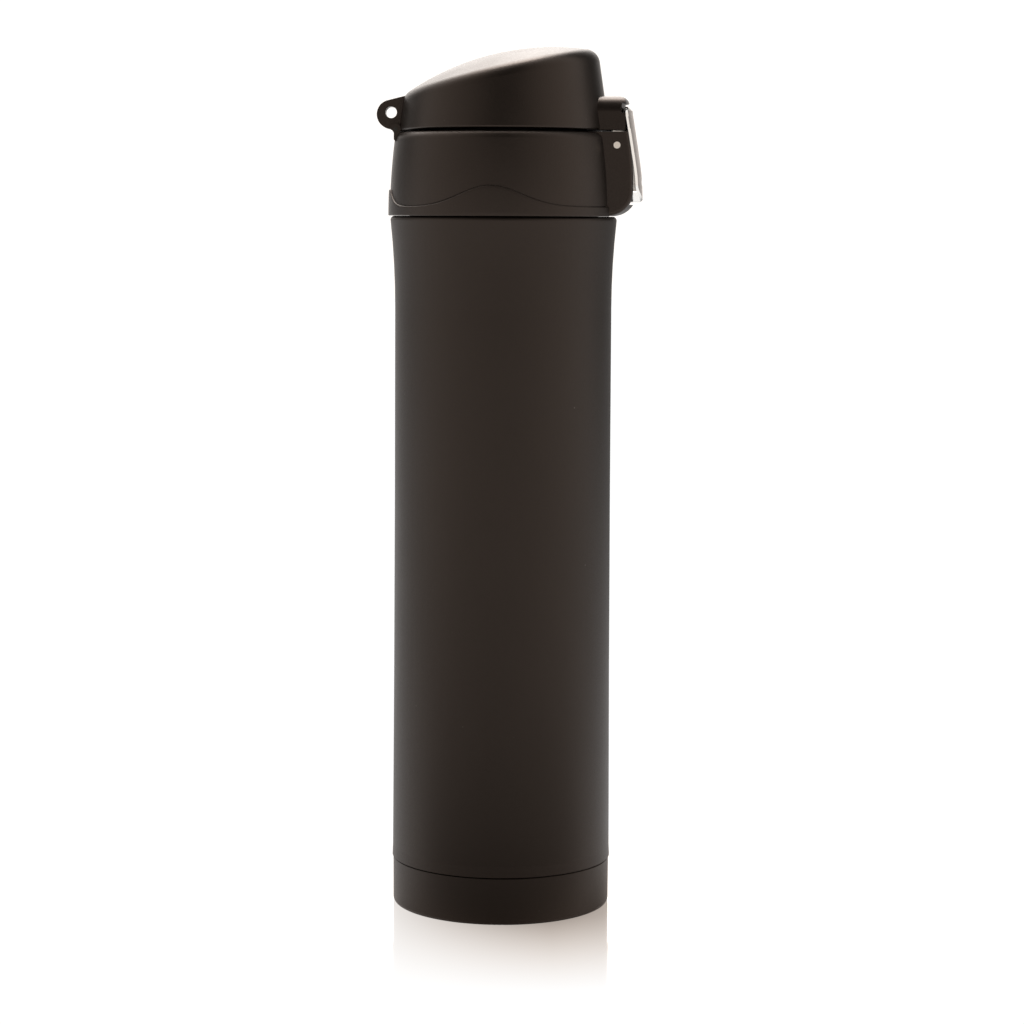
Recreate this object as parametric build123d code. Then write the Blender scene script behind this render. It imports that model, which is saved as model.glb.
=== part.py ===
from build123d import *
import math
import os

# Slim vacuum flask with a screw-on closure and a flip lid, as separate pieces, in millimetres.
# Frame: origin at the centre of the base on the resting plane, +Z up. The lid's hinge is on
# the -X side and its latch on the +X side. The object is symmetric about the XZ plane.

# ---- driving dimensions ----------------------------------------------------------------

# steel body
body_radius = 32.22  # where the flare towards the collar starts
base_radius = 32.82  # the body widens slightly towards its lower end
steel_wall = 0.6
base_seam = 14.0  # height of the seam between base cup and shell
flare_start = 180.0  # the body widens towards the collar above this height
flare_arc = 243.0
shoulder_top = 207.0
shoulder_rounding = 1.2
neck_radius = 27.4
neck_top = 226.0
cup_radius = 32.67
tuck_radius = 31.45  # lower end of the shell, inside the base cup
seam_flare = 0.15  # the shell widens slightly just above the seam
seam_flare_length = 3.5
neck_fillet = 0.8

# inner bottle
vessel_wall = 0.5
vessel_radius = 28.4
vessel_bottom = 8.5
mouth_radius = 25.1  # inner radius of the neck

# screw thread: single start, right-handed
thread_pitch = 4.0
thread_turns = 1.5
thread_start = 213.0
thread_crest = 0.95
female_root_radius = 28.6
female_drop = 1.5  # the inside ridge runs this far below the neck's ridge

# collar
collar_bottom = 207.2
collar_top = 231.6
collar_foot_radius = 33.75
collar_arc = 177.0
collar_corner = 2.6
collar_bore = 31.5
collar_mouth_radius = 26.5
band_thickness = 1.0
band_proud = 0.5
band_gap = 0.25
wave_low = 209.75
wave_height = 5.95  # of the crests on the two sides
wave_back_height = 5.0  # of the crest behind, under the hinge
wave_side_angle = -6.4  # azimuth of the side crest, degrees from the Y axis towards +X
wave_side_spread = 15.0
wave_back_spread = 11.0

# latch housing, catch block and lever share one upright axis, which bows their fronts
bow_axis = -16.5
housing_half_width = 15.0
pocket_half_width = 13.5
lever_half_width = 13.2
plate = 0.7
hook_tip = 36.65
hook_top = 239.1
lever_corner = 214.8  # where the lever's straight sides end
lever_low = 211.3  # lowest point of its rounded lower end
lever_back = 36.2  # nothing of the lever is behind this plane, except around the pin
barrel_radius = 2.2
latch_spring_z = 217.5
latch_pin_x = 32.9
latch_pin_z = 227.75
latch_pin_radius = 1.0
pocket_floor = 210.5
pocket_back = 33.9
barrel_space_floor = 223.7  # the pocket is deeper above this height, for the lever's barrel
barrel_space_back = 30.4
neck_of_lever = 31.7  # back of the lever's core where it passes the parting line

# lid
lid_bottom = 232.2
foot_droop = 0.5  # the lid's foot hangs lower by this next to the hinge
droop_x = -26.6  # where half of the droop is reached
droop_length = 1.9  # how gradually the foot droops, the smaller the more abrupt
lid_foot_radius = 31.2
lid_draft = 0.15  # radius lost for each millimetre of height
lid_wall = 2.0
crown_radius = 76.8
crown_centre_x = 14.94
crown_centre_z = 179.8
rim_rounding = 4.4
foot_rounding = 0.5

# hinge and strap lug
hinge_x = -31.9
hinge_z = 232.3
ear_back = -32.4  # the hinge barrel is cut off behind this plane and below the pin
knuckle_radius = 1.6
hinge_pin_radius = 0.6
knuckle_half = 4.2  # the lid's knuckles end here, the collar's ears start just outside
ear_half = 6.6
spring_slot_half = 2.2
spring_slot_radius = 1.4
spring_radius = 1.0  # of the hinge spring, to the middle of its wire
spring_leg_y = 1.86
leg_slot_half = 0.4
lug_x = -33.3
lug_z = 237.3  # of the eye's hole
eye_drop = 0.6  # the eye's outline is centred this far below its hole
lug_radius = 4.25
lug_hole_radius = 1.7
lug_half_width = 3.5

running = 0.05  # radial clearance of pins that turn
gap = 0.2  # clearance between pieces that move apart
far = 60.0  # reach of cutting shapes beyond the object


# ---- helpers ---------------------------------------------------------------------------


def section(corners, roundings=()):
    """A closed outline in the XZ plane as a face. roundings are (corner number, radius)."""
    face = Plane.XZ * make_face(Polyline(*corners, close=True))
    for number, radius in roundings:
        x, z = corners[number]
        spot = Vector(x, 0, z)
        corner = min(face.vertices(), key=lambda v: (Vector(*v) - spot).length)
        face = fillet(corner, radius)
    return face


def turned(corners, roundings=()):
    """A solid of revolution about the flask's axis."""
    return revolve(section(corners, roundings), Axis.Z)


def bowed(corners, roundings=()):
    """A profile turned about the upright axis that the latch fronts share."""
    axis = Axis((bow_axis, 0, 0), (0, 0, 1))
    return revolve(section(corners, roundings), axis, revolution_arc=360)


def bow_core(reach):
    """Everything inside a latch front that reaches this far out on the XZ plane."""
    return bowed([(0, 190), (reach, 190), (reach, 260), (0, 260)])


def slab(low_x, high_x, half_y, low_z, high_z):
    """A box that is centred on Y."""
    box = Box(high_x - low_x, 2 * half_y, high_z - low_z)
    return Pos((low_x + high_x) / 2, 0, (low_z + high_z) / 2) * box


def across(x, z, radius, half_y):
    """A cylinder along Y, centred on Y."""
    return Pos(x, 0, z) * Rot(90, 0, 0) * Cylinder(radius, 2 * half_y)


def upright(radius, low, high, x=0.0):
    """A cylinder along Z."""
    return Pos(x, 0, (low + high) / 2) * Cylinder(radius, high - low)


def both_sides(piece):
    """The piece and its mirror image across the XZ plane."""
    return piece + mirror(piece, Plane.XZ)


def flare(z):
    """Outer radius of the body at a height in the flare."""
    return body_radius + flare_arc - math.sqrt(flare_arc**2 - (z - flare_start) ** 2)


def collar_radius(z):
    """Outer radius of the collar, which draws in slightly towards the lid."""
    return collar_foot_radius - (z - collar_bottom) ** 2 / (2 * collar_arc)


def lid_radius(z):
    """Outer radius of the lid's side wall."""
    return lid_foot_radius - lid_draft * (z - lid_bottom)


def thread(root, crest, start, spin):
    """A helical ridge from the root radius to the crest radius, sunk a little into its wall."""
    outwards = 1 if crest > root else -1
    path = Helix(thread_pitch, thread_turns * thread_pitch, root, center=(0, 0, start))
    foot, tip, sunk = 0.85, 0.45, 0.15
    height = abs(crest - root)
    ridge = make_face(
        Polyline((-sunk, -foot), (0, -foot), (height, -tip), (height, tip), (0, foot),
                 (-sunk, foot), close=True)
    )
    place = Plane(origin=path @ 0, x_dir=(outwards, 0, 0), z_dir=path % 0)
    return Rot(0, 0, spin) * sweep(place * ridge, path=path, is_frenet=True)


def coil(radius, wire, pitch, turns, direction, start):
    """A round-wire helical spring."""
    path = Helix(pitch, pitch * turns, radius, center=start, direction=direction)
    return sweep(Plane(origin=path @ 0, z_dir=path % 0) * Circle(wire), path=path, is_frenet=True)


# ---- flask body ------------------------------------------------------------------------


def shell_section(inset, foot, top):
    """Outline of the outer shell's surface, moved inwards, closed to the axis."""
    high = shoulder_top - inset
    wall_low, step_low, step_high = base_seam + seam_flare_length, base_seam + 0.1, base_seam + 0.35
    lines = Polyline(
        (0, foot), (tuck_radius - inset, foot), (tuck_radius - inset, step_low + inset),
        (base_radius + seam_flare - inset, step_high + inset), (base_radius - inset, wall_low),
    )
    wall = ThreePointArc(
        (base_radius - inset, wall_low),
        (body_radius + (base_radius - body_radius) / 4 - inset, (wall_low + flare_start) / 2),
        (body_radius - inset, flare_start),
    )
    middle = (flare_start + high) / 2
    side = ThreePointArc(
        (body_radius - inset, flare_start), (flare(middle) - inset, middle),
        (flare(high) - inset, high),
    )
    end = Polyline(
        (flare(high) - inset, high), (neck_radius - inset, high), (neck_radius - inset, top),
        (0, top), (0, foot),
    )
    face = Plane.XZ * make_face(lines + wall + side + end)
    for spot, radius in (
        (Vector(flare(high) - inset, 0, high), shoulder_rounding - inset / 2),
        (Vector(neck_radius - inset, 0, high), neck_fillet),
    ):
        corner = min(face.vertices(), key=lambda v: (Vector(*v) - spot).length)
        face = fillet(corner, radius)
    return face


def outer_shell():
    """Drawn steel wall with the flared shoulder, the neck and its rolled thread."""
    foot = 2.0
    outside = revolve(shell_section(0, foot, neck_top), Axis.Z)
    inside = revolve(shell_section(steel_wall, foot - 1, neck_top + 1), Axis.Z)
    return outside - inside + thread(neck_radius, neck_radius + thread_crest, thread_start, 0)


def inner_vessel():
    """Inner bottle. Its mouth is flanged over the neck, where the two walls are welded."""
    shoulder, neck_foot = 196.0, 204.5
    inner, lip = vessel_radius - vessel_wall, neck_top + running
    corners = [
        (0, vessel_bottom), (vessel_radius, vessel_bottom), (vessel_radius, shoulder),
        (mouth_radius + vessel_wall, neck_foot), (mouth_radius + vessel_wall, lip),
        (neck_radius, lip), (neck_radius, lip + vessel_wall), (mouth_radius, lip + vessel_wall),
        (mouth_radius, neck_foot - 0.2), (inner, shoulder - 0.2),
        (inner, vessel_bottom + vessel_wall), (0, vessel_bottom + vessel_wall),
    ]
    bottom, bend = 7.0, 5.0
    return turned(corners, [
        (1, bottom), (10, bottom - vessel_wall), (2, bend), (9, bend), (3, bend), (8, bend),
    ])


def outer_bottom():
    """Pan that closes the shell, with a raised centre around the evacuation hole."""
    radius, floor, rim = tuck_radius - steel_wall - running, 3.0, 8.0
    dome, rise, hole = 7.0, 1.6, 1.2
    return turned([
        (hole, floor + rise), (dome, floor + rise), (dome + 1.5, floor), (radius, floor),
        (radius, rim), (radius - steel_wall, rim), (radius - steel_wall, floor + steel_wall),
        (dome + 1.8, floor + steel_wall), (dome + 0.3, floor + rise + steel_wall),
        (hole, floor + rise + steel_wall),
    ])


def vacuum_seal():
    """Bead that plugs the evacuation hole from below."""
    stem, cap, top = 1.15, 2.6, 5.1
    return turned([(0, 3.5), (cap, 4.0), (cap, 4.55), (stem, 4.55), (stem, top), (0, top)])


def getter():
    """Gas-absorbing pellet on the underside of the inner bottle."""
    return upright(4.0, vessel_bottom - 1.25, vessel_bottom - running, x=12.0)


def base_cup():
    """Painted cup over the closed bottom, which the flask stands on."""
    inner, floor = tuck_radius + running, 0.8
    return turned(
        [(0, 0), (cup_radius, 0), (cup_radius, base_seam), (inner, base_seam), (inner, floor),
         (0, floor)],
        [(1, 1.2), (2, 0.25)],
    )


# ---- stopper ---------------------------------------------------------------------------

seat_radius = 23.2
seat_low = 214.6
seat_high = 219.1
stopper_top = 229.4


def neck_gasket():
    """Two-lipped silicone ring in the stopper's groove."""
    inner, root, lip = seat_radius + running, 24.1, mouth_radius - 0.15
    low, high = seat_low + 0.1, seat_high - 0.1
    return turned([
        (inner, low), (root, low), (lip, low + 0.9), (lip, low + 1.4), (root, low + 2.0),
        (root, low + 2.3), (lip, low + 2.9), (lip, low + 3.4), (root, high), (inner, high),
    ])


def threaded_insert():
    """Stopper: ring with the inside thread, a web over the mouth and a plug in the neck."""
    foot, wide, narrow, bore = 208.2, 29.7, 28.6, 21.6
    web, plug, upper_bore = 227.2, 24.4, 22.6
    body = turned([
        (wide, foot), (female_root_radius, foot), (female_root_radius, 221.5), (27.7, 222.4),
        (27.7, web), (plug, web), (plug, seat_high), (seat_radius, seat_high),
        (seat_radius, seat_low), (24.2, seat_low), (24.2, seat_low - 0.8), (bore, seat_low - 0.8),
        (bore, 222.5), (upper_bore, 222.5), (upper_bore, stopper_top), (narrow, stopper_top),
        (narrow, 223.5), (wide, 223.0),
    ])
    low = thread_start + 0.1
    spin = 360 * (low - thread_start + female_drop) / thread_pitch
    return body + thread(female_root_radius, female_root_radius - thread_crest, low, spin)


def drinking_spout():
    """Mouthpiece with a drinking hole towards the latch and an air hole towards the hinge."""
    groove, skirt, foot = 20.9, 22.3, 223.6
    base = stopper_top + 0.1
    body = turned(
        [
            (0, 243.0), (13.3, 243.0), (14.2, 238.0), (16.5, 235.0), (24.8, 232.3),
            (26.3, 231.2), (26.3, base), (skirt, base), (skirt, 226.9), (groove, 226.9),
            (groove, 225.1), (skirt, 225.1), (skirt, foot), (19.6, foot), (19.6, 230.6),
            (14.6, 233.4), (12.4, 236.6), (11.6, 241.4), (0, 241.4),
        ],
        [(1, 0.8), (3, 4.0), (2, 2.0)],
    )
    drink = Pos(4.2, 0, 242) * extrude(SlotOverall(15.0, 8.6, rotation=90), 5, both=True)
    air = upright(1.2, 238, 245, x=-8.2)
    return body - drink - air


def spout_gasket():
    """O-ring in the mouthpiece's groove."""
    return Pos(0, 0, 226.0) * Torus(21.75, 0.8)


# ---- collar ----------------------------------------------------------------------------


def wave(angle):
    """Height of the trim band's top edge at an azimuth from the near side."""
    side = wave_height * math.exp(-(((angle - wave_side_angle) / wave_side_spread) ** 2) / 2)
    back = wave_back_height * math.exp(-(((angle + 90) / wave_back_spread) ** 2) / 2)
    return wave_low + side + back


def under_wave(rise):
    """Everything below the wavy line moved up by rise. Both sides of the flask are alike."""
    step, radius = 4, collar_foot_radius
    points = [(radius * math.sin(math.radians(a)), wave(a) + rise) for a in range(-86, 43, step)]
    first = (-radius - 3, points[0][1] + 2.2)
    last = (far, wave_low + rise)
    outline = Spline(first, *points) + Polyline(
        points[-1], last, (far, collar_bottom - 5), (-radius - 3, collar_bottom - 5), first
    )
    return extrude(Plane.XZ * make_face(outline), far, both=True)


def collar_form(proud, low, high):
    """Solid inside the collar's outer surface moved outwards."""
    middle = (low + high) / 2
    side = ThreePointArc(
        (collar_radius(low) + proud, low), (collar_radius(middle) + proud, middle),
        (collar_radius(high) + proud, high),
    )
    rest = Polyline(
        (collar_radius(high) + proud, high), (0, high), (0, low), (collar_radius(low) + proud, low)
    )
    return revolve(Plane.XZ * make_face(side + rest), Axis.Z)


def wave_trim_band():
    """Trim band with a wavy top edge. It stops at the sides of the latch housing."""
    top = wave_low + wave_height + 3
    ring = collar_form(band_proud, collar_bottom, top)
    ring -= collar_form(band_proud - band_thickness, collar_bottom - 1, top + 1)
    ring &= under_wave(0)
    return ring - slab(0, far, housing_half_width + 0.15, 200, 220)


def front_side_edges(block, least_x):
    """Edges where the front of a latch block meets its two sides."""
    sides = [e for e in block.edges() if abs(abs(e.center().Y) - housing_half_width) < 0.01]
    return [e for e in sides if e.center().X > least_x]


def latch_housing():
    """Block on the collar's front. Its front face leans out towards the bottom."""
    root, chin_rounding, blend, edge_rounding = 24.0, 7.0, 30.0, 1.1
    block = bowed(
        [(root, collar_bottom), (39.5, collar_bottom), (39.4, 220.0), (38.9, 226.0),
         (38.0, collar_top), (root, collar_top)],
        [(1, chin_rounding), (2, blend), (3, blend)],
    )
    block &= slab(root - 4, far, housing_half_width, collar_bottom, collar_top)
    return fillet(front_side_edges(block, root + 10.5), edge_rounding)


def latch_pocket():
    """Space for the lever in the housing, open at the top, deeper around the lever's pin."""
    roof, open_top = 230.6, collar_top + 1
    space = slab(pocket_back, far, pocket_half_width, pocket_floor, open_top)
    space += slab(barrel_space_back, far, pocket_half_width, barrel_space_floor, roof)
    return space + slab(neck_of_lever - gap - 0.2, far, pocket_half_width, roof - 1, open_top)


def below_barrel():
    """Cutting shape that flattens the hinge's outline behind and below the hinge pin."""
    top, reach = hinge_z + 0.3, 1.4
    outline = section([(ear_back - 3, top), (ear_back - reach, top), (ear_back, top - 1.0),
                       (ear_back, 225.0), (ear_back - 3, 225.0)])
    return extrude(outline, far, both=True)


def hinge_ear():
    """One ear that holds an end of the hinge pin."""
    inner, width = knuckle_half + gap, ear_half - knuckle_half - gap
    root, foot = -29.4, 227.6
    side = section([(ear_back, hinge_z - 0.6), (ear_back, foot + 1.7), (ear_back + 1.5, foot),
                    (root, foot), (root, hinge_z - 1.0), (hinge_x + 1.3, hinge_z - 0.9)])
    barrel = across(hinge_x, hinge_z, knuckle_radius, width / 2) - below_barrel()
    web = extrude(side, width / 2, both=True)
    return Pos(0, inner + width / 2, 0) * (web + barrel)


def collar_shell():
    """Collar with the latch housing in front and the hinge ears behind."""
    body = collar_form(0, collar_bottom, collar_top)
    rim = [e for e in body.edges() if abs(e.center().Z - collar_top) < 0.01]
    body = fillet(rim, collar_corner)
    rebate = under_wave(band_gap) - collar_form(band_proud - band_thickness - running, 190, 230)
    body -= rebate & slab(-far, far, far, 190, 230)
    body += latch_housing()
    ledge, narrow = 221.5, 28.7
    body -= turned([
        (0, 200), (collar_bore, 200), (collar_bore, ledge), (29.8, ledge + 1), (29.8, 223.6),
        (narrow, 223.6), (narrow, stopper_top + 0.1), (collar_mouth_radius, stopper_top + 0.1),
        (collar_mouth_radius, 240), (0, 240),
    ])
    body -= latch_pocket()
    body -= across(latch_pin_x, latch_pin_z, latch_pin_radius, far)
    body -= across(hinge_x, hinge_z, knuckle_radius + gap, knuckle_half + gap)
    body += both_sides(hinge_ear())
    body -= across(hinge_x, hinge_z, hinge_pin_radius, far)
    leg = slab(hinge_x, -27.5, leg_slot_half, hinge_z - spring_radius - leg_slot_half, collar_top + 1)
    return body - Pos(0, -spring_leg_y, 0) * leg


def hinge_pin():
    """Steel pin of the lid's hinge, held in the collar's ears."""
    return across(hinge_x, hinge_z, hinge_pin_radius, ear_half)


def latch_pin():
    """Steel pin that the lever turns on. Its ends are flush with the housing."""
    return across(latch_pin_x, latch_pin_z, latch_pin_radius, housing_half_width)


def hinge_spring():
    """Torsion spring around the hinge pin, with one leg on the collar and one on the lid."""
    wire, pitch, turns, leg = 0.18, 0.62, 6, 4.2
    start = (hinge_x, pitch * turns / 2, hinge_z)
    body = coil(spring_radius, wire, pitch, turns, (0, -1, 0), start)
    for side in (-1, 1):
        place = Pos(hinge_x + leg / 2, side * spring_leg_y, hinge_z + side * spring_radius)
        body += place * Rot(0, 90, 0) * Cylinder(wire, leg)
    return body


# ---- lid -------------------------------------------------------------------------------


def foot_height(x):
    """Height of the lid's lower edge, which droops towards the hinge."""
    return lid_bottom - foot_droop / (1 + math.exp((x - droop_x) / droop_length))


def above_foot():
    """Everything above the lid's lower edge."""
    back, front, step, top = -36, -9, 2, 300
    points = [(x, foot_height(x)) for x in range(back, front, step)]
    outline = Spline(*points) + Polyline(
        points[-1], (far, lid_bottom), (far, top), (back, top), points[0]
    )
    return extrude(Plane.XZ * make_face(outline), far, both=True)


def dome(inset):
    """Solid inside the lid's outer surface, moved inwards: a drafted wall under a crown."""
    foot, top = lid_bottom - 1.5, 262.0
    cone = Cone(lid_radius(foot) - inset, lid_radius(top) - inset, top - foot)
    wall = Pos(0, 0, (foot + top) / 2) * cone
    crown = Pos(crown_centre_x, 0, crown_centre_z) * Sphere(crown_radius - inset)
    return wall & crown


def catch_block():
    """Block on the lid's front that the lever's hook holds down, with broadly rounded sides."""
    root, top, foot_front, front, notch_back = 24.0, 242.0, 37.95, 37.1, 35.9
    notch_low, notch_high, relief_top = 237.0, 240.1, 238.0
    low_half, top_half, shoulder, brow = 13.7, 13.3, 4.6, 2.4
    block = bowed(
        [(root, lid_bottom), (foot_front, lid_bottom), (front, notch_low), (front - 0.1, top),
         (root, top)],
        [(3, brow)],
    )
    sides = make_face(Polyline((-low_half, lid_bottom), (low_half, lid_bottom), (top_half, top),
                               (-top_half, top), close=True))
    sides = fillet([v for v in sides.vertices() if v.Y > top - 1], shoulder)
    block &= extrude(Plane.YZ * sides, far, both=True) & slab(root - 4, far, far, lid_bottom, top)
    notch = slab(root, far, far, notch_low, notch_high) - bow_core(notch_back)
    relief = slab(root, far, far, lid_bottom - 1, relief_top) - bow_core(front)
    return block - notch - relief


def strap_lug():
    """Eye for a strap on the hinge side, with a back that slopes up to the crown."""
    centre_z, root_x, root_top = lug_z - eye_drop, -28.5, 242.3
    eye = across(lug_x, centre_z, lug_radius, lug_half_width)
    root = section([(lug_x - 0.85, centre_z + lug_radius - 0.09), (root_x, root_top),
                    (root_x, centre_z - lug_radius), (lug_x, centre_z - lug_radius)])
    return eye + extrude(root, lug_half_width, both=True)


def lid_knuckles():
    """Hinge barrel of the lid, before the spring slot is cut."""
    back, root = hinge_x - knuckle_radius, -28.8
    side = section([(back, hinge_z), (back, hinge_z + 2.2), (root, hinge_z + 3.7),
                    (root, lid_bottom), (hinge_x + knuckle_radius - 0.05, hinge_z - 0.3)])
    barrel = across(hinge_x, hinge_z, knuckle_radius, knuckle_half) - below_barrel()
    return extrude(side, knuckle_half, both=True) + barrel


def lid_shell():
    """Lid with a slanted crown, the catch block in front and the strap lug behind."""
    body = dome(0)
    rim = [e for e in body.edges() if e.center().Z > lid_bottom + 5]
    body = fillet(rim, rim_rounding) & above_foot()
    foot = [e for e in body.edges() if e.center().Z < lid_bottom + 0.01]
    body = fillet(foot, foot_rounding)
    body += catch_block() + strap_lug() + lid_knuckles()
    body -= dome(lid_wall)
    body -= across(lug_x, lug_z, lug_hole_radius, far)
    ear_space = ear_half - knuckle_half + gap
    ear = across(hinge_x, hinge_z, knuckle_radius + gap, ear_space / 2)
    body -= both_sides(Pos(0, knuckle_half + ear_space / 2, 0) * ear)
    inside = -26.0
    body -= across(hinge_x, hinge_z, spring_slot_radius, spring_slot_half)
    body -= slab(hinge_x, inside, spring_slot_half, lid_bottom - 3, lid_bottom)
    leg = slab(hinge_x, inside, leg_slot_half, lid_bottom - 3, hinge_z + spring_radius + leg_slot_half)
    body -= Pos(0, spring_leg_y, 0) * leg
    return body - across(hinge_x, hinge_z, hinge_pin_radius + running, far)


def lid_liner():
    """Inner cap of the lid, with a raised middle over the mouthpiece."""
    foot, wall, top, inner, outer = 237.4, 1.5, 246.2, 16.2, 27.9
    return turned([
        (0, top), (inner + wall, top), (inner + wall, foot + wall), (outer, foot + wall),
        (outer, foot), (inner, foot), (inner, top - wall), (0, top - wall),
    ])


def lid_seal():
    """Silicone disc that presses on the mouthpiece's rim."""
    rim, lip, edge, low = 243.05, 241.6, 15.2, 244.65
    return turned([(0, rim), (13.9, rim), (13.9, lip), (edge, lip), (edge, low), (0, low)])


# ---- latch -----------------------------------------------------------------------------


def lever_profile(inset):
    """Outline of the lever's bowed front from the hook's tip to the lower end."""
    return [
        (hook_tip, hook_top - inset), (37.3 - inset / 2, hook_top - inset),
        (37.95 - inset, 237.9 - inset / 2), (39.3 - inset, 229.6), (40.6 - inset, 221.0),
        (41.05 - inset, 216.0), (41.2 - inset, 211.0), (hook_tip, 210.9),
    ]


def lever_outline(inset, side):
    """Front view of the lever, with a rounded lower end, as a bar along X."""
    corner, lowest, over = lever_corner + inset, lever_low + inset, hook_top + 6
    arc = ThreePointArc((-side, corner), (0, lowest), (side, corner))
    lines = Polyline((side, corner), (side, over), (-side, over), (-side, corner))
    return extrude(Plane.YZ * make_face(arc + lines), far)


def latch_lever():
    """Bowed steel face plate with a hooked top end and a skirt around its lower end."""
    under, inner = 200, 20  # beyond the plate's lower end and behind it
    outside = bowed(lever_profile(0), [(1, 0.5), (2, 1.5), (3, 40), (4, 40)])
    hollow = lever_profile(plate)
    hollow[0] = (inner, hollow[0][1])
    hollow[-1] = (inner, under)
    hollow[-2] = (hollow[-2][0], under)
    hollow = bowed(hollow, [(2, 1.0), (3, 40), (4, 40)])
    body = outside & lever_outline(0, lever_half_width)
    body -= hollow & lever_outline(plate, lever_half_width + 2)
    return body & slab(lever_back, far, far, under, hook_top + 1)


def latch_rocker():
    """Core behind the face plate, with the barrel for the latch pin and a tapered neck."""
    half, play = lever_half_width - 1.0, 0.03
    neck_wide, neck_narrow = lever_half_width, lever_half_width - 2.4
    front = lever_profile(plate + play)
    low, high = 214.9, 230.1
    pad = bowed([
        (lever_back, low), (front[6][0] - 0.2, low), (front[5][0], 216.0), (front[4][0], 221.0),
        (front[3][0] - 0.08, high - 0.5), (front[3][0] - 0.1, high), (lever_back, high),
    ])
    pad &= slab(lever_back + 0.2, far, half, low, high)
    arm = slab(latch_pin_x, 37.2, half, latch_pin_z - 2, high)
    neck_front = lever_back + 0.2
    plan = make_face(Polyline((neck_of_lever, -neck_wide), (neck_front, -neck_narrow),
                              (neck_front, neck_narrow), (neck_of_lever, neck_wide), close=True))
    neck = Pos(0, 0, latch_pin_z - 1) * extrude(plan, lid_bottom - gap - latch_pin_z + 1)
    body = pad + arm + neck + across(latch_pin_x, latch_pin_z, barrel_radius, half)
    body -= across(latch_pin_x, latch_pin_z, latch_pin_radius + running, far)
    depth = 0.8
    return body - Pos(37.0, 0, latch_spring_z) * Rot(0, 90, 0) * Cylinder(2.7, 2 * depth)


def latch_spring():
    """Coil spring between the collar and the lower half of the lever."""
    wire, turns, radius = 0.22, 4, 2.1
    start, end = pocket_back + wire + running, 37.8 - wire - running
    return coil(radius, wire, (end - start) / turns, turns, (1, 0, 0), (start, 0, latch_spring_z))


# ---- write every piece -----------------------------------------------------------------

PIECES = [
    outer_shell, inner_vessel, outer_bottom, vacuum_seal, getter, base_cup, neck_gasket,
    threaded_insert, drinking_spout, spout_gasket, collar_shell, wave_trim_band, hinge_pin,
    latch_pin, hinge_spring, lid_shell, lid_liner, lid_seal, latch_lever, latch_rocker,
    latch_spring,
]

os.makedirs("parts", exist_ok=True)
for piece in PIECES:
    shape = piece()
    export_step(shape, f"parts/{piece.__name__}.step")
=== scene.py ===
import math

import bmesh
import bpy
import numpy as np
from mathutils import Matrix, Vector


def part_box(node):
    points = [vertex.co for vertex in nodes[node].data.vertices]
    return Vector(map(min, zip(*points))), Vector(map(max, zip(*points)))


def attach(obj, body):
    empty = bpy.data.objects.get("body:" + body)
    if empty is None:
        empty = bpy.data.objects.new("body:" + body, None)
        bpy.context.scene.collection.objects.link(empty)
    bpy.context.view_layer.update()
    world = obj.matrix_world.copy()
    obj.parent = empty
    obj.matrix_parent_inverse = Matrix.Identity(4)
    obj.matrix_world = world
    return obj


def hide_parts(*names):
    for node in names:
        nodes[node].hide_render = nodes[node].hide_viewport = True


# Vacuum flask: looks for the CAD pieces, four finer pieces in mesh code, studio and camera.

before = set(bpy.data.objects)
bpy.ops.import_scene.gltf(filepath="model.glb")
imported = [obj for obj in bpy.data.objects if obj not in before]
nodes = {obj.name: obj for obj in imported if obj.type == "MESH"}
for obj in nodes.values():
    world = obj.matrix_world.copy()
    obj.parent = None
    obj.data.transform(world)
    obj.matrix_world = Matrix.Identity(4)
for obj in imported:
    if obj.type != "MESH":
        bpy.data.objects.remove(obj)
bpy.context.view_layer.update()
MM = 0.001
MICRON = 0.001 * MM

# ---- node helpers ----------------------------------------------------------------------


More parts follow.
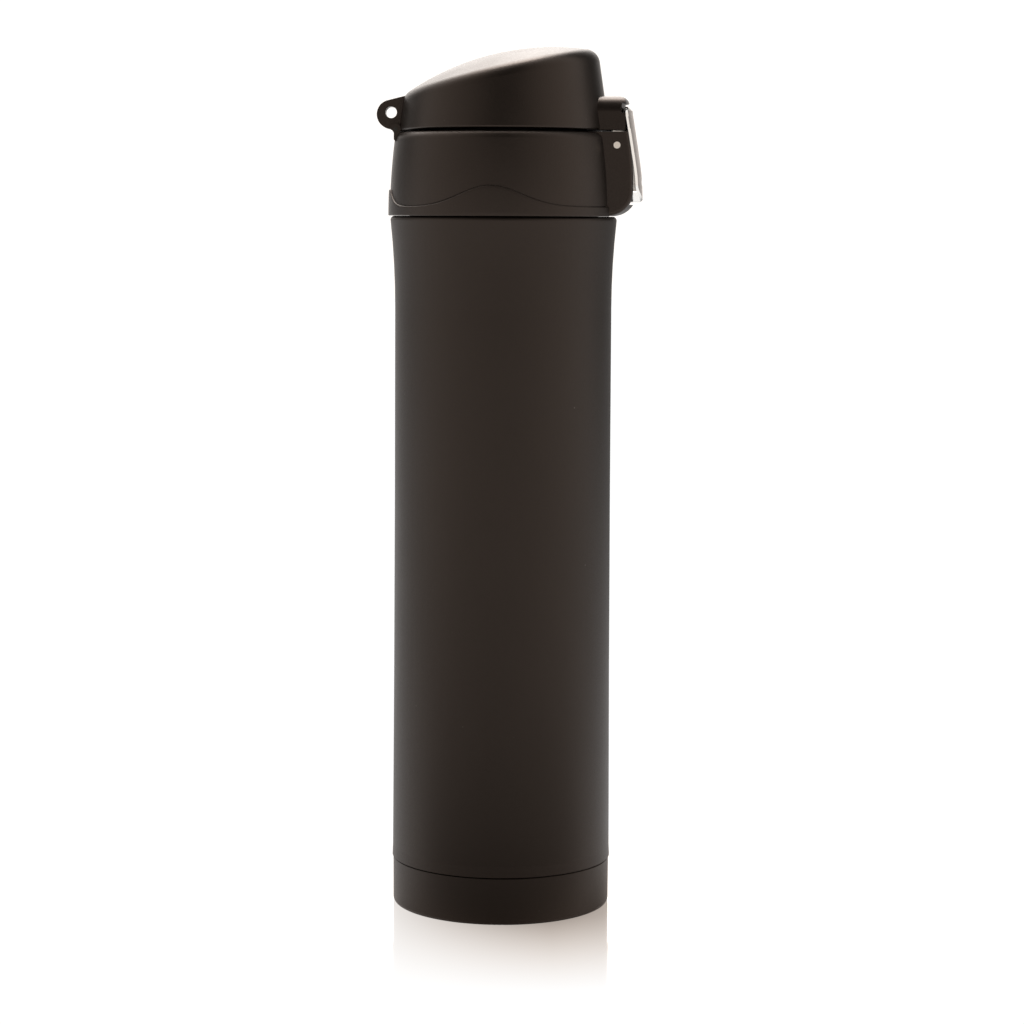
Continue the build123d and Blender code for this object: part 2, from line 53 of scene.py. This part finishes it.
class Graph:
    """A node tree with short calls for the nodes this file uses."""

    def __init__(self, tree, coordinates="Object"):
        self.nodes, self.links = tree.nodes, tree.links
        self.place = self.add("ShaderNodeTexCoord").outputs[coordinates]

    def add(self, kind, **settings):
        node = self.nodes.new(kind)
        for key, value in settings.items():
            setattr(node, key, value)
        return node

    def put(self, socket, value):
        if isinstance(value, bpy.types.NodeSocket):
            self.links.new(value, socket)
        else:
            socket.default_value = value

    def noise(self, scale, detail=4.0, rough=0.55, stretch=None):
        """Noise over the object's own metres; stretch scales each axis first."""
        where = self.place
        if stretch:
            mapping = self.add("ShaderNodeMapping")
            self.put(mapping.inputs["Vector"], where)
            mapping.inputs["Scale"].default_value = stretch
            where = mapping.outputs["Vector"]
        node = self.add("ShaderNodeTexNoise")
        self.put(node.inputs["Vector"], where)
        node.inputs["Scale"].default_value = scale
        node.inputs["Detail"].default_value = detail
        node.inputs["Roughness"].default_value = rough
        return node.outputs["Fac"]

    def cells(self, scale):
        """Distance to the nearest of many scattered points."""
        node = self.add("ShaderNodeTexVoronoi")
        self.put(node.inputs["Vector"], self.place)
        node.inputs["Scale"].default_value = scale
        return node.outputs["Distance"]

    def ramp(self, value, low, high, to_low=0.0, to_high=1.0, kind="LINEAR"):
        """Maps value from low..high to to_low..to_high, clamped."""
        node = self.add("ShaderNodeMapRange", interpolation_type=kind)
        self.put(node.inputs["Value"], value)
        ends = {"From Min": low, "From Max": high, "To Min": to_low, "To Max": to_high}
        for key, number in ends.items():
            self.put(node.inputs[key], number)
        return node.outputs["Result"]

    def ease(self, value, low, high, to_low=0.0, to_high=1.0):
        """The same with soft ends."""
        return self.ramp(value, low, high, to_low, to_high, "SMOOTHSTEP")

    def math(self, operation, a, b=0.0):
        node = self.add("ShaderNodeMath", operation=operation)
        self.put(node.inputs[0], a)
        self.put(node.inputs[1], b)
        return node.outputs[0]

    def times(self, a, b):
        return self.math("MULTIPLY", a, b)

    def plus(self, a, b):
        return self.math("ADD", a, b)

    def rest(self, share):
        """What is left of 1 after a share is taken."""
        return self.math("SUBTRACT", 1.0, share)

    def mix(self, factor, a, b):
        node = self.add("ShaderNodeMix", data_type="RGBA")
        self.put(node.inputs["Factor"], factor)
        self.put(node.inputs["A"], a)
        self.put(node.inputs["B"], b)
        return node.outputs["Result"]

    def bump(self, height, distance, strength=1.0):
        node = self.add("ShaderNodeBump")
        self.put(node.inputs["Height"], height)
        node.inputs["Distance"].default_value = distance
        node.inputs["Strength"].default_value = strength
        return node.outputs["Normal"]


class Tree(Graph):
    """A material's node tree, which ends in a Principled shader."""

    def __init__(self, name):
        self.material = bpy.data.materials.new(name)
        self.material.use_nodes = True
        super().__init__(self.material.node_tree)
        self.shader = self.nodes["Principled BSDF"]

    def finish(self, colour, roughness, normal=None, metallic=0.0, **extra):
        put, inputs = self.put, self.shader.inputs
        put(inputs["Base Color"], colour)
        put(inputs["Roughness"], roughness)
        put(inputs["Metallic"], metallic)
        if normal is not None:
            put(inputs["Normal"], normal)
        for key, value in extra.items():
            put(inputs[key.replace("_", " ")], value)
        return self.material


# ---- looks -----------------------------------------------------------------------------


def rgb(r, g, b):
    return (r, g, b, 1.0)


def dimmed(colour, share):
    return rgb(*(share * part for part in colour[:3]))


BLACK = rgb(0.0048, 0.0037, 0.0028)
WARM = rgb(1.0, 0.77, 0.645)  # tint of the highlights on the black pieces


def dusty(tree, base, dust, amount):
    """Base colour with slow tone changes and a few pale specks of dust."""
    tone = tree.ramp(tree.noise(55, 5), 0.35, 0.68)
    colour = tree.mix(tone, dimmed(base, 0.82), base)
    spots = tree.cells(420)
    sparse = tree.ramp(tree.noise(160, 2), 0.66, 0.74)
    specks = tree.times(tree.ramp(spots, 0.13, 0.06), sparse)
    return tree.mix(tree.times(specks, amount), colour, dust)


def black_moulding(name, base, rough, grain, grain_depth):
    """Moulded black plastic with a fine spark-eroded grain, its depth in micrometres."""
    t = Tree(name)
    colour = dusty(t, base, rgb(0.20, 0.18, 0.16), 0.35)
    fine, slow = t.noise(grain, 3, 0.6), t.noise(90, 3)
    roughness = t.plus(t.ramp(fine, 0.3, 0.7, rough - 0.05, rough + 0.05),
                       t.ramp(slow, 0.3, 0.7, -0.03, 0.03))
    pits = t.cells(grain * 0.8)
    height = t.plus(t.times(fine, 0.7), t.times(pits, 0.5))
    normal = t.bump(height, grain_depth * MICRON)
    return t.finish(colour, roughness, normal, Specular_Tint=WARM)


def body_paint():
    """Soft-touch black paint over steel, with a faint orange peel and slight handling marks."""
    t = Tree("body_paint")
    colour = dusty(t, BLACK, rgb(0.22, 0.20, 0.18), 0.3)
    peel, fine = t.noise(420, 2, 0.5), t.noise(2600, 2, 0.6)
    rub = t.ramp(t.noise(38, 5, 0.6, (1, 1, 0.35)), 0.45, 0.72)
    roughness = t.plus(t.ramp(fine, 0.3, 0.7, 0.44, 0.52), t.times(rub, -0.035))
    height = t.plus(t.times(peel, 0.6), t.times(fine, 0.4))
    normal = t.bump(height, 20 * MICRON, 0.8)
    return t.finish(colour, roughness, normal, Specular_Tint=WARM)


def steel(name, base, rough, brush, depth=12, spread=0.08):
    """Brushed or drawn steel. The grain runs along the axis where brush is smallest; depth is in
    micrometres."""
    t = Tree(name)
    lines = t.noise(900, 4, 0.7, brush)
    slow = t.noise(60, 4)
    tint = t.mix(t.ramp(slow, 0.3, 0.7), dimmed(base, 0.86), base)
    colour = t.mix(t.ramp(lines, 0.2, 0.8), dimmed(base, 0.92), tint)
    roughness = t.ramp(lines, 0.25, 0.75, rough - spread, rough + spread)
    normal = t.bump(lines, depth * MICRON, 0.8)
    return t.finish(colour, roughness, normal, 1.0)


def silicone():
    """Pale grey seal rubber with a little light inside."""
    t = Tree("silicone")
    colour = t.mix(t.ramp(t.noise(120, 4), 0.35, 0.7), rgb(0.46, 0.46, 0.44), rgb(0.58, 0.58, 0.56))
    normal = t.bump(t.noise(1500, 3), 20 * MICRON, 0.5)
    return t.finish(colour, t.ramp(t.noise(300, 3), 0.3, 0.7, 0.35, 0.5), normal,
                    Subsurface_Weight=0.15, Subsurface_Radius=(0.002, 0.002, 0.002))


def seal_glass():
    """Solder glass of the bead that closes the vacuum."""
    t = Tree("seal_glass")
    colour = t.mix(t.ramp(t.noise(700, 3), 0.35, 0.7), rgb(0.30, 0.36, 0.34), rgb(0.46, 0.52, 0.50))
    roughness = t.ramp(t.noise(500, 3), 0.3, 0.7, 0.08, 0.22)
    return t.finish(colour, roughness, t.bump(t.noise(900, 2), 30 * MICRON, 0.5))


def getter_metal():
    """Sintered grey metal."""
    t = Tree("getter_metal")
    grain = t.cells(2600)
    colour = t.mix(t.ramp(grain, 0.1, 0.6), rgb(0.20, 0.20, 0.19), rgb(0.40, 0.40, 0.38))
    roughness = t.ramp(grain, 0.1, 0.6, 0.55, 0.75)
    return t.finish(colour, roughness, t.bump(grain, 50 * MICRON, 0.8), 0.9)


paint = body_paint()
collar_black = black_moulding("collar_plastic", BLACK, 0.40, 2300, 22)
lid_black = black_moulding("lid_plastic", BLACK, 0.35, 2300, 18)
inner_black = black_moulding("inner_plastic", rgb(0.026, 0.025, 0.024), 0.5, 1800, 30)
lever_steel = steel("lever_steel", rgb(0.78, 0.715, 0.67), 0.34, (1.0, 0.05, 1.0))
# the edge steel is a smoother, brighter copy of the lever steel for the lever's border and rolled
# end: the smoother finish is real polish, the brighter colour is painted highlight
edge_steel_with_painted_highlight = steel("edge_steel_with_painted_highlight", rgb(0.95, 0.92, 0.88), 0.2, (1.0, 0.05, 1.0), 6, 0.05)
core_metal = steel("core_metal", rgb(0.92, 0.86, 0.79), 0.42, (0.3, 1.0, 1.0))
pin_steel = steel("pin_steel", rgb(0.92, 0.82, 0.71), 0.36, (1.0, 0.1, 1.0))
bare_steel = steel("bare_steel", rgb(0.62, 0.60, 0.57), 0.28, (0.15, 0.15, 1.0))
spring_steel = steel("spring_steel", rgb(0.50, 0.49, 0.47), 0.3, (1.0, 1.0, 0.2))
# dark pin steel is the hinge pin's own colour; on the inside of the lever's rolled end it is
# painted shade
dark_pin_and_curl_shade = steel("dark_pin_and_curl_shade", rgb(0.05, 0.045, 0.04), 0.45, (1.0, 0.1, 1.0))
rubber = silicone()

LOOKS = {
    "outer_shell": paint, "base_cup": paint, "inner_vessel": bare_steel,
    "outer_bottom": bare_steel, "vacuum_seal": seal_glass(), "getter": getter_metal(),
    "neck_gasket": rubber, "spout_gasket": rubber, "lid_seal": rubber,
    "threaded_insert": inner_black, "drinking_spout": inner_black, "lid_liner": inner_black,
    "collar_shell": collar_black, "wave_trim_band": collar_black, "lid_shell": lid_black,
    "latch_rocker": core_metal, "latch_lever": lever_steel, "latch_pin": pin_steel,
    "hinge_pin": dark_pin_and_curl_shade, "hinge_spring": spring_steel, "latch_spring": spring_steel,
}
for name, look in LOOKS.items():
    mesh = nodes[name].data
    mesh.materials.clear()
    mesh.materials.append(look)

# ---- pieces in mesh code ---------------------------------------------------------------
# Lengths in this part are in millimetres until mesh_piece() turns them into metres.


def smooth_line(points, steps):
    """Catmull-Rom curve through the points, with this many steps from one to the next."""
    p = np.array(points, float)
    p = np.vstack([2 * p[0] - p[1], p, 2 * p[-1] - p[-2]])
    out = []
    for a, b, c, d in zip(p, p[1:], p[2:], p[3:]):
        for t in np.linspace(0, 1, steps, endpoint=False):
            out.append(0.5 * (2 * b + (c - a) * t + (2 * a - 5 * b + 4 * c - d) * t**2
                              + (3 * b - a - 3 * c + d) * t**3))
    out.append(p[-2])
    return np.array(out)


def mesh_piece(name, corners, faces, looks, body, stands_for=(), sharp=35):
    """A piece from corners in millimetres and (corner numbers, look number) faces."""
    mesh = bpy.data.meshes.new(name)
    mesh.from_pydata([tuple(MM * float(c) for c in corner) for corner in corners], [],
                     [face for face, look in faces])
    for look in looks:
        mesh.materials.append(look)
    for polygon, (face, look) in zip(mesh.polygons, faces):
        polygon.material_index = look
    bm = bmesh.new()
    bm.from_mesh(mesh)
    bmesh.ops.remove_doubles(bm, verts=bm.verts, dist=0.004 * MM)
    bmesh.ops.dissolve_degenerate(bm, edges=bm.edges, dist=0.002 * MM)
    bmesh.ops.holes_fill(bm, edges=bm.edges, sides=0)
    bmesh.ops.recalc_face_normals(bm, faces=bm.faces)
    bm.to_mesh(mesh)
    bm.free()
    mesh.shade_smooth()
    mesh.set_sharp_from_angle(angle=math.radians(sharp))
    piece = bpy.data.objects.new(name, mesh)
    bpy.context.scene.collection.objects.link(piece)
    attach(piece, body)
    if stands_for:
        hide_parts(*stands_for)


def net(rows, look, start):
    """Corners and faces of a grid given as rows of points; start is the first corner's number."""
    rows = [np.asarray(row, float) for row in rows]
    width = len(rows[0])
    faces = []
    for i in range(len(rows) - 1):
        for j in range(width - 1):
            a = start + i * width + j
            faces.append(((a, a + 1, a + width + 1, a + width), look))
    return [tuple(point) for row in rows for point in row], faces


def nets(*parts):
    """Corners and faces of several grids, each given as (rows, look)."""
    corners, faces = [], []
    for rows, look in parts:
        more, extra = net(rows, look, len(corners))
        corners, faces = corners + more, faces + extra
    return corners, faces


def in_mm(node):
    """Lowest and highest corner of a CAD node."""
    low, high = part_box(node)
    return low / MM, high / MM


def soft_step(low, high, value):
    """0 on the side of low, 1 on the side of high, with soft ends."""
    t = np.clip((value - low) / (high - low), 0, 1)
    return t * t * (3 - 2 * t)


# face plate of the lever
LEVER_HALF = in_mm("latch_lever")[1].y
BEVEL, PLATE = 0.62, 0.7
FACE_TOP, CORNER_TOP = (38.2, 236.4), 217.0
MARK_Z, MARK_WIDE, MARK_HIGH, MARK_DEPTH = 217.0, 5.5, 1.05, 0.2
FRONT = smooth_line([(41.2, 210.5), (41.05, 216.0), (40.6, 221.0), (39.3, 229.6), FACE_TOP], 24)


def lever_sag(y, z):
    """How far the lever's front lies behind its middle line at a distance from it."""
    bow = np.interp(z, (214.0, 238.0), (46.0, 41.5))
    return bow - np.sqrt(bow**2 - np.asarray(y, float) ** 2)


def lever_front(y, z):
    """X of the lever's face, with a shallow oval finger mark near the lower end."""
    oval = (np.asarray(y, float) / MARK_WIDE) ** 2 + ((z - MARK_Z) / MARK_HIGH) ** 2
    mark = MARK_DEPTH * soft_step(0.0, 0.45, 1.15 - oval)
    return np.interp(z, FRONT[:, 1], FRONT[:, 0]) - lever_sag(y, z) - mark


def directions(line):
    """Unit directions along a line, level at the end of a line that stops on the middle plane."""
    along = np.gradient(line, axis=0)
    if line[-1][0] == 0.0:
        along[-1] = (1, 0)
    return along / np.linalg.norm(along, axis=1)[:, None]


def lever_rows():
    """Rows of the plate from its upper edge down to the lowest point of the face. Each is (x or
    None, z, inner half width, z of the edge, half width, inward x, inward z, wall)."""
    thin, narrower, thickening, step = 0.40, 0.85, 14, 0.25
    upper = smooth_line([(37.98, 238.0), (38.06, 237.5), FACE_TOP], 8)
    wall = thin + (PLATE - thin) * soft_step(0, thickening, np.arange(len(upper)))
    rows = [(x, z, LEVER_HALF - narrower * w, z, LEVER_HALF, t[1], -t[0], w)
            for (x, z), t, w in zip(upper, directions(upper), wall)]
    rows += [(None, z, LEVER_HALF - BEVEL, z, LEVER_HALF, -1.0, 0.0, PLATE)
             for z in np.arange(FACE_TOP[1] - step, CORNER_TOP + 0.1, -step)]
    foot = smooth_line([(-LEVER_HALF, CORNER_TOP), (-LEVER_HALF, 215.9), (-12.75, 214.9),
                        (-11.4, 213.95), (-9.0, 212.9), (-6.0, 212.0), (-3.0, 211.47),
                        (0.0, 211.3)], 9)
    rows += [(None, z + BEVEL * t[0], max(0.0, -y + BEVEL * t[1]), z, -y, -1.0, 0.0, PLATE)
             for (y, z), t in zip(foot, directions(foot))]
    return rows


def lever_plate():
    """Bowed steel face plate with a bevelled edge and a skirt round its lower end. The rolled
    upper edge is a piece of its own."""
    skirt_back, skirt_top, columns, bevel_depth = 36.95, 214.5, 96, 0.86
    tuck_in, tuck_side = 0.05, 0.03  # of the border above the skirt
    face, back, bevel, rim, skirt, ledge, inside = ([] for _ in range(7))
    for x, z, inner, edge_z, half, in_x, in_z, wall in lever_rows():
        y = np.linspace(-inner, inner, columns + 1)
        front = lever_front(y, z) if x is None else x - lever_sag(y, z)
        face.append(np.column_stack([front, y, np.full_like(y, z)]))
        back.append(face[-1] + np.array([in_x * wall, 0.0, in_z * wall]))
        edge = lever_front(half, edge_z) if x is None else x - lever_sag(half, edge_z)
        depth = wall * bevel_depth
        bevel.append(face[-1][0])
        rim.append(np.array([edge + in_x * depth, -half, edge_z + in_z * depth]))
        if edge_z < skirt_top:
            skirt.append(np.array([skirt_back, -half, edge_z]))
            ledge.append(np.array([skirt_back, -inner, z]))
        else:
            skirt.append(rim[-1] + np.array([in_x * tuck_in, tuck_side, in_z * tuck_in]))
            ledge.append((skirt[-1] + back[-1][0]) / 2)
        inside.append(back[-1][0])
    other_side = np.array([1, -1, 1])
    border = [loop + [point * other_side for point in loop[::-1]]
              for loop in (bevel, rim, skirt, ledge, inside)]
    corners, faces = nets((face, 0), (back[::-1], 0), (border, 1))
    # the border round the plate takes the brighter edge steel, whose extra brightness is painted
    # highlight
    mesh_piece("lever_plate", corners, faces, [lever_steel, edge_steel_with_painted_highlight], "latch",
               ["latch_lever"])


def rolled_end():
    """The lever's upper edge, rolled into a small tube around a wire that ends in domes."""
    half, outer, inner, lip = LEVER_HALF - 0.3, 0.62, 0.48, 0.05
    bow, centre_x, centre_z = 60.0, 36.95, 238.36

    def ring(y, radius):
        x = centre_x - bow + math.sqrt(bow**2 - y**2)
        return [(x + radius * math.cos(turn), y, centre_z + radius * math.sin(turn))
                for turn in np.linspace(0, 2 * math.pi, 25)]

    inward = np.linspace(-half + 0.5, half - 0.5, 41)
    stations = [(-half, lip), (-half + 0.1, 0.0)] + [(y, 0.0) for y in inward] \
        + [(half - 0.1, 0.0), (half, lip)]
    outside = [ring(y, outer - less) for y, less in stations]
    inside = [ring(y, inner + less) for y, less in stations]
    dome = [(0.03, half - 0.05), (0.16, half - 0.10), (0.24, half - 0.20), (0.28, half - 0.36)]
    wire = [ring(-y, radius) for radius, y in dome]
    wire += [ring(y, dome[-1][0]) for y in np.linspace(-half + 1, half - 1, 31)]
    wire += [ring(y, radius) for radius, y in reversed(dome)]
    # the outside of the tube and the wire take the brighter edge steel (painted highlight); the
    # inside of the tube takes the dark pin steel (painted shade in the curl)
    corners, faces = nets((outside, 0), (inside, 1), ((outside[0], inside[0]), 0),
                          ((outside[-1], inside[-1]), 0), (wire, 0))
    mesh_piece("lever_rolled_end", corners, faces, [edge_steel_with_painted_highlight, dark_pin_and_curl_shade], "latch")


# trim band, between the collar and the body
BAND_LOW = in_mm("wave_trim_band")[0].z - 0.15  # hangs a little below the CAD band
BAND_PROUD, BAND_WALL = 0.5, 0.97
COLLAR_FOOT, COLLAR_ARC = 33.75, 177.0
HOUSING_HALF = in_mm("latch_pin")[1].y + 0.15
WAVE_LOW = 209.75
CRESTS = [(5.95, -6.4, 15.0), (5.0, -90.0, 11.0)]  # (height, angle from the side, spread)


def band_radius(z):
    """Outer radius of the band, which stands proud of the collar's round side."""
    return COLLAR_FOOT - (z - BAND_LOW) ** 2 / (2 * COLLAR_ARC) + BAND_PROUD


def band_top(x):
    """Height of the band's wavy edge: one crest on each side and one behind, under the hinge."""
    angle = math.degrees(math.asin(max(-1.0, min(1.0, x / COLLAR_FOOT))))
    return WAVE_LOW + sum(height * math.exp(-(((angle - middle) / spread) ** 2) / 2)
                          for height, middle, spread in CRESTS)


def corner_arc(centre_z, rounding, low, high, count):
    """Points of a rounded corner between two angles in degrees, on the band's curved side."""
    points = []
    for turn in np.radians(np.linspace(low, high, count)):
        z = centre_z + rounding * math.sin(turn)
        points.append((band_radius(z) - rounding + rounding * math.cos(turn), z))
    return points


def trim_band():
    """Band with a wavy, rounded top edge that stops at the sides of the latch housing."""
    end, foot = math.asin(HOUSING_HALF / (COLLAR_FOOT + BAND_PROUD)), 0.22
    rows = []
    for angle in np.linspace(end, 2 * math.pi - end, 721):
        top = band_top(band_radius(BAND_LOW + 3) * math.cos(angle))
        rounding = 0.16 + 0.26 * float(soft_step(0.1, -0.8, math.cos(angle)))
        straight = np.linspace(BAND_LOW + foot, top - rounding, 9)[1:]
        profile = [(band_radius(BAND_LOW) - BAND_WALL, BAND_LOW)]
        profile += corner_arc(BAND_LOW + foot, foot, -90, 0, 6)
        profile += [(band_radius(z), z) for z in straight]
        profile += corner_arc(top - rounding, rounding, 0, 90, 8)[1:]
        profile += [(band_radius(top) - BAND_WALL, top), profile[0]]
        rows.append([(r * math.cos(angle), r * math.sin(angle), z) for r, z in profile])
    corners, faces = net(rows, 0, 0)
    mesh_piece("trim_band", corners, faces, [collar_black], "closure",
               ["wave_trim_band"], sharp=50)


def gap_shade_ring():
    """Thin dark ring inside the collar's lower end, a dark piece put there as painted shade: it
    darkens the gap above the shoulder.
    """
    outer, inner, low, soft = 31.4, 29.9, BAND_LOW - 0.01, 0.2
    high = BAND_LOW + 0.85
    section = [(inner, low), (outer - soft, low), (outer, low + soft), (outer, high - soft),
               (outer - soft, high), (inner, high), (inner, low)]
    rows = [[(r * math.cos(a), r * math.sin(a), z) for r, z in section]
            for a in np.linspace(0, 2 * math.pi, 241)]
    corners, faces = net(rows, 0, 0)
    mesh_piece("gap_shade_ring", corners, faces, [inner_black], "closure")


lever_plate()
rolled_end()
trim_band()
gap_shade_ring()

# ---- stage -----------------------------------------------------------------------------


SHEET_RADIUS, SHEET_GLOW = 6.0, 1.06
BACKDROP = 1.18  # strength of the white background, as the camera sees it


def round_sheet(name, radius):
    """Flat disc on the ground."""
    mesh = bpy.data.meshes.new(name)
    bm = bmesh.new()
    bmesh.ops.create_circle(bm, cap_ends=True, segments=96, radius=radius)
    bm.to_mesh(mesh)
    bm.free()
    sheet = bpy.data.objects.new(name, mesh)
    bpy.context.scene.collection.objects.link(sheet)
    return sheet


def floor_material():
    """White sheet that mirrors the object softly close to it and not further out. Distances are
    metres from the object's axis, X to the right and Y away from the camera."""
    mirror_from, mirror_to, warm_from, warm_to = 0.031, 0.125, 0.035, 0.105
    lit_side, dark_side = -0.035, 0.015
    t = Tree("stage_white")
    reach = t.add("ShaderNodeVectorMath", operation="LENGTH")
    split = t.add("ShaderNodeSeparateXYZ")
    t.put(reach.inputs[0], t.place)
    t.put(split.inputs[0], t.place)
    away, x, y = reach.outputs["Value"], split.outputs["X"], split.outputs["Y"]
    near = t.math("POWER", t.ramp(away, mirror_from, mirror_to, 1.0, 0.0), 2.0)
    sheet, gloss = t.add("ShaderNodeEmission"), t.add("ShaderNodeBsdfGlossy")
    tone = t.mix(t.ramp(t.noise(1.5, 3), 0.3, 0.7), rgb(0.99, 0.99, 0.99), rgb(1.0, 1.0, 1.0))
    # painted reflection: the sheet is painted a little warmer close to the object, more so on its
    # darker side
    painted_warm_tint = t.times(t.ramp(away, warm_from, warm_to, 1.0, 0.0),
                   t.ramp(x, lit_side, dark_side, 0.3, 1.0))
    t.put(sheet.inputs["Color"], t.mix(painted_warm_tint, tone, rgb(1.0, 0.88, 0.79)))
    # in the object's own reflections the sheet is dimmer in front of the object, where the room
    # behind the camera shades it, and further away on the right
    path = t.add("ShaderNodeLightPath")
    front = t.times(t.ease(y, -0.05, 0.0, 1.0, 0.0), t.ramp(away, 0.06, 0.34, 0.85, 0.0))
    right = t.times(t.ease(x, 0.02, 0.20, 0.0, 0.65), t.ease(y, 0.30, 0.80))
    shade = t.times(t.plus(front, right), t.rest(path.outputs["Is Camera Ray"]))
    t.put(sheet.inputs["Strength"], t.times(t.rest(shade), SHEET_GLOW))
    t.put(gloss.inputs["Roughness"], 0.07)
    t.put(gloss.inputs["Color"], rgb(1.0, 0.955, 0.925))
    both, output = t.add("ShaderNodeMixShader"), t.nodes["Material Output"]
    # the mirror image is fainter on the left, where more light falls on the sheet
    fade = t.ramp(x, lit_side, dark_side, 0.24, 0.64)
    t.put(both.inputs["Fac"], t.times(near, fade))
    t.links.new(sheet.outputs[0], both.inputs[1])
    t.links.new(gloss.outputs[0], both.inputs[2])
    t.links.new(both.outputs[0], output.inputs["Surface"])
    return t.material


floor = round_sheet("stage_floor", SHEET_RADIUS)
floor.data.materials.append(floor_material())


# (place, brightness) round the object; the place is 0 towards the camera and 1 straight behind
ROOM = [(0.0, 0.02), (0.07, 0.09), (0.15, 0.28), (0.27, 0.52), (0.42, 0.70), (0.55, 0.74),
        (0.64, 0.06), (0.76, 0.07), (0.85, 0.36), (0.93, 0.70), (1.0, 0.84)]


def room_walls(g, x, y, round_it):
    """Brightness of the room at the level of the object."""
    curve = g.add("ShaderNodeFloatCurve")
    points = curve.mapping.curves[0].points
    points[0].location, points[1].location = ROOM[0], ROOM[-1]
    for stop in ROOM[1:-1]:
        points.new(*stop)
    curve.mapping.update()
    g.put(curve.inputs["Value"], round_it)
    walls = g.times(curve.outputs["Value"], 1.4)
    # a little dimmer on the left, except behind the object
    left, behind = g.ease(x, -0.6, 0.2, 0.84, 1.0), g.ramp(round_it, 0.78, 0.86)
    walls = g.times(walls, g.plus(g.times(left, g.rest(behind)), behind))
    # a darker stretch behind the object on its right, below the level of the collar
    screen = g.times(g.ease(x, 0.0, 0.25), g.ramp(round_it, 0.66, 0.74))
    screen = g.times(screen, g.ease(y, 0.07, 0.12, 0.5, 0.0))
    return g.times(walls, g.rest(screen))


def studio():
    """Soft studio that turns with the camera: white behind and beside the object, a wide soft lamp
    above and behind it, and a darker room behind the camera."""
    world = bpy.data.worlds.new("studio")
    bpy.context.scene.world = world
    world.use_nodes = True
    world.node_tree.nodes.clear()
    g = Graph(world.node_tree, "Camera")
    unit = g.add("ShaderNodeVectorMath", operation="NORMALIZE")
    split = g.add("ShaderNodeSeparateXYZ")
    g.put(unit.inputs[0], g.place)
    g.put(split.inputs[0], unit.outputs[0])
    x, y, z = split.outputs
    bearing = g.math("ABSOLUTE", g.math("ARCTAN2", x, g.times(z, -1.0)))
    round_it = g.math("DIVIDE", bearing, math.pi)
    walls = room_walls(g, x, y, round_it)
    # the wall behind the camera, level with the object, which lights its front
    level = g.times(g.ease(y, -0.42, -0.10), g.ease(y, 0.0, 0.24, 1.0, 0.0))
    ahead = g.ease(round_it, 0.0, 0.30, 0.43, 0.0)
    # the white table, which fills the lower half beside and behind the object
    table = g.times(g.ease(y, -0.36, -0.10, 0.80, 0.0), g.ramp(round_it, 0.50, 0.66))

    def lobe(elevation, spread, strength):
        """Soft lamp in the plane through the camera, at an elevation above the view direction."""
        axis = g.add("ShaderNodeVectorMath", operation="DOT_PRODUCT")
        g.put(axis.inputs[0], unit.outputs[0])
        tilt = math.radians(elevation)
        axis.inputs[1].default_value = (0.0, math.sin(tilt), math.cos(tilt))
        facing = g.math("MAXIMUM", axis.outputs["Value"], 0.0)
        return g.times(g.math("POWER", facing, spread), strength)

    narrow = g.times(g.ease(x, 0.06, 0.34, 1.0, 0.0), g.ramp(z, -0.30, 0.10))
    glow = g.times(g.plus(lobe(60, 5.0, 4.8), lobe(74, 26.0, 5.7)), narrow)
    total = g.plus(g.plus(walls, g.times(level, ahead)), g.plus(table, glow))
    path = g.add("ShaderNodeLightPath")
    seen = g.add("ShaderNodeMix")
    g.put(seen.inputs["Factor"], path.outputs["Is Camera Ray"])
    g.put(seen.inputs["A"], total)
    seen.inputs["B"].default_value = BACKDROP
    background, output = g.add("ShaderNodeBackground"), g.add("ShaderNodeOutputWorld")
    background.inputs["Color"].default_value = rgb(1.0, 0.955, 0.915)
    g.put(background.inputs["Strength"], seen.outputs["Result"])
    g.links.new(background.outputs[0], output.inputs[0])


studio()

# ---- camera ----------------------------------------------------------------------------

CAMERA_PLACE, CAMERA_DOWN, CAMERA_ROLL = (0.0029, -0.8143, 0.2073), 6.2145, 0.285

camera_data = bpy.data.cameras.new("camera")
camera_data.sensor_width = 36.0
camera_data.lens = 95.8
camera_data.clip_end = 50
camera = bpy.data.objects.new("camera", camera_data)
bpy.context.scene.collection.objects.link(camera)
tilt = Matrix.Rotation(math.radians(90 - CAMERA_DOWN), 4, "X")
roll = Matrix.Rotation(math.radians(CAMERA_ROLL), 4, "Z")
camera.matrix_world = Matrix.Translation(CAMERA_PLACE) @ tilt @ roll
bpy.context.scene.camera = camera


def lamp(name, place, target, width, height, power):
    """Soft rectangular lamp that stays fixed to the camera."""
    light = bpy.data.lights.new(name, "AREA")
    light.shape, light.size, light.size_y = "RECTANGLE", width, height
    light.energy = power
    item = bpy.data.objects.new(name, light)
    bpy.context.scene.collection.objects.link(item)
    item.location = place
    item.rotation_euler = (Vector(target) - Vector(place)).to_track_quat("-Z", "Y").to_euler()
    bpy.context.view_layer.update()
    world = item.matrix_world.copy()
    item.parent = camera
    item.matrix_parent_inverse = camera.matrix_world.inverted()
    item.matrix_world = world


lamp("top", place=(0.0, 0.25, 0.95), target=(0, 0, 0.2), width=0.7, height=0.25, power=0.25)

bpy.context.scene.view_settings.view_transform = "Standard"
bpy.context.scene.view_settings.look = "None"
